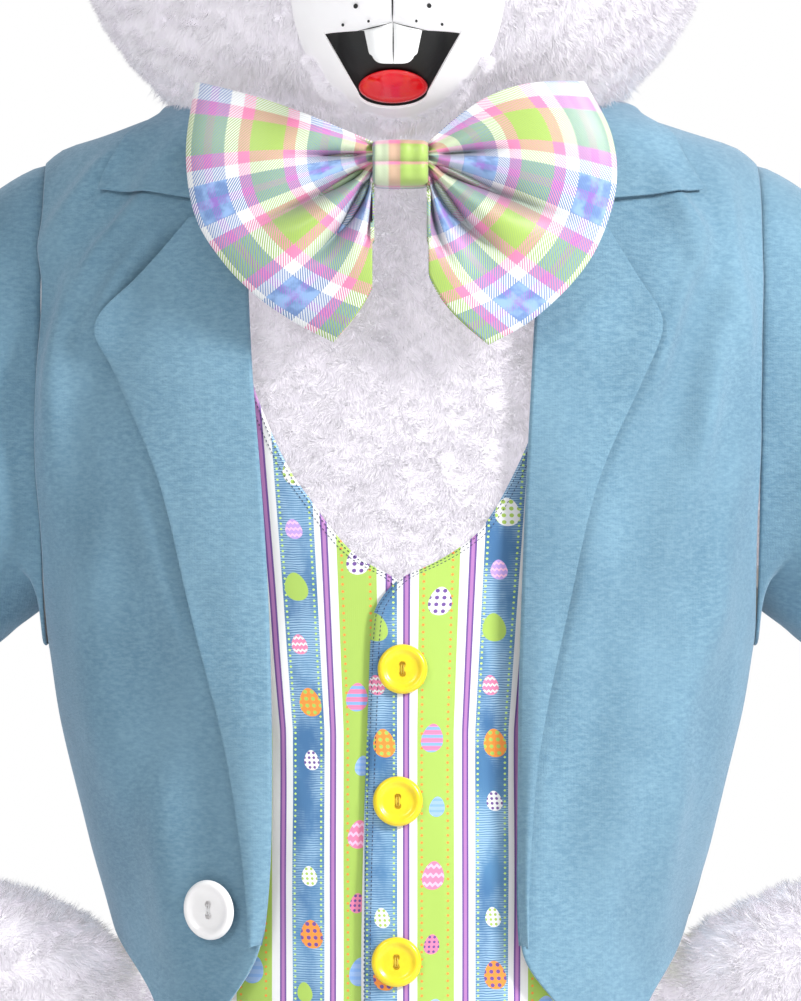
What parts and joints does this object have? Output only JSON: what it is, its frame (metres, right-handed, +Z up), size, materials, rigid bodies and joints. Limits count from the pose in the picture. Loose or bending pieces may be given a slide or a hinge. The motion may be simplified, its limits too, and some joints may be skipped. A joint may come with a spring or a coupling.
{
  "type": "easter bunny costume",
  "caption": "Worn plush rabbit suit with a blue jacket, printed vest, pastel bow tie, mitts and full head, hollow and open for the wearer.",
  "frame": {"origin": "between the wearer's shoulders, level with the shoulder seams, where the wearer holds the suit up", "axes": "+Z up the body, -Y the front, +X the wearer's left"},
  "size_m": [1.1596, 0.5422, 2.135],
  "materials": {
    "plush": "white plush pile",
    "smooth_white": "smooth white coated cloth",
    "blue": "light blue brushed suiting",
    "print": "printed satin, pastel stripes",
    "plaid": "pastel plaid satin",
    "pink_cloth": "pink short plush",
    "yellow": "glossy",
    "white": "satin",
    "mouth": "black",
    "tongue": "glossy red",
    "pink": "satin",
    "eye": "glossy"
  },
  "bodies": {
    "root": {"fur_front_left": "plush", "fur_front_right": "plush", "fur_back_left": "plush", "fur_back_right": "plush", "fur_sleeve_left": "plush", "fur_sleeve_right": "plush", "mitt_left": "plush", "mitt_right": "plush", "vest_front_left": "print", "vest_front_right": "print", "vest_back": "print", "vest_button_top": "yellow", "vest_button_middle": "yellow", "vest_button_bottom": "yellow", "jacket_front_left": "blue", "jacket_front_right": "blue", "jacket_back": "blue", "jacket_sleeve_left": "blue", "jacket_sleeve_right": "blue", "collar": "blue", "lapel_left": "blue", "lapel_right": "blue", "jacket_button": "white", "bow_wing_left": "plaid", "bow_wing_right": "plaid", "bow_knot": "plaid", "head_shell": "plush", "muzzle": "smooth_white", "mouth": "mouth", "tongue": "tongue", "tooth_left": "white", "tooth_right": "white", "nose": "pink", "eye_left": "eye", "eye_right": "eye", "ear_left": "plush", "ear_right": "plush", "ear_lining_left": "pink_cloth", "ear_lining_right": "pink_cloth"}
  },
  "joints": []
}
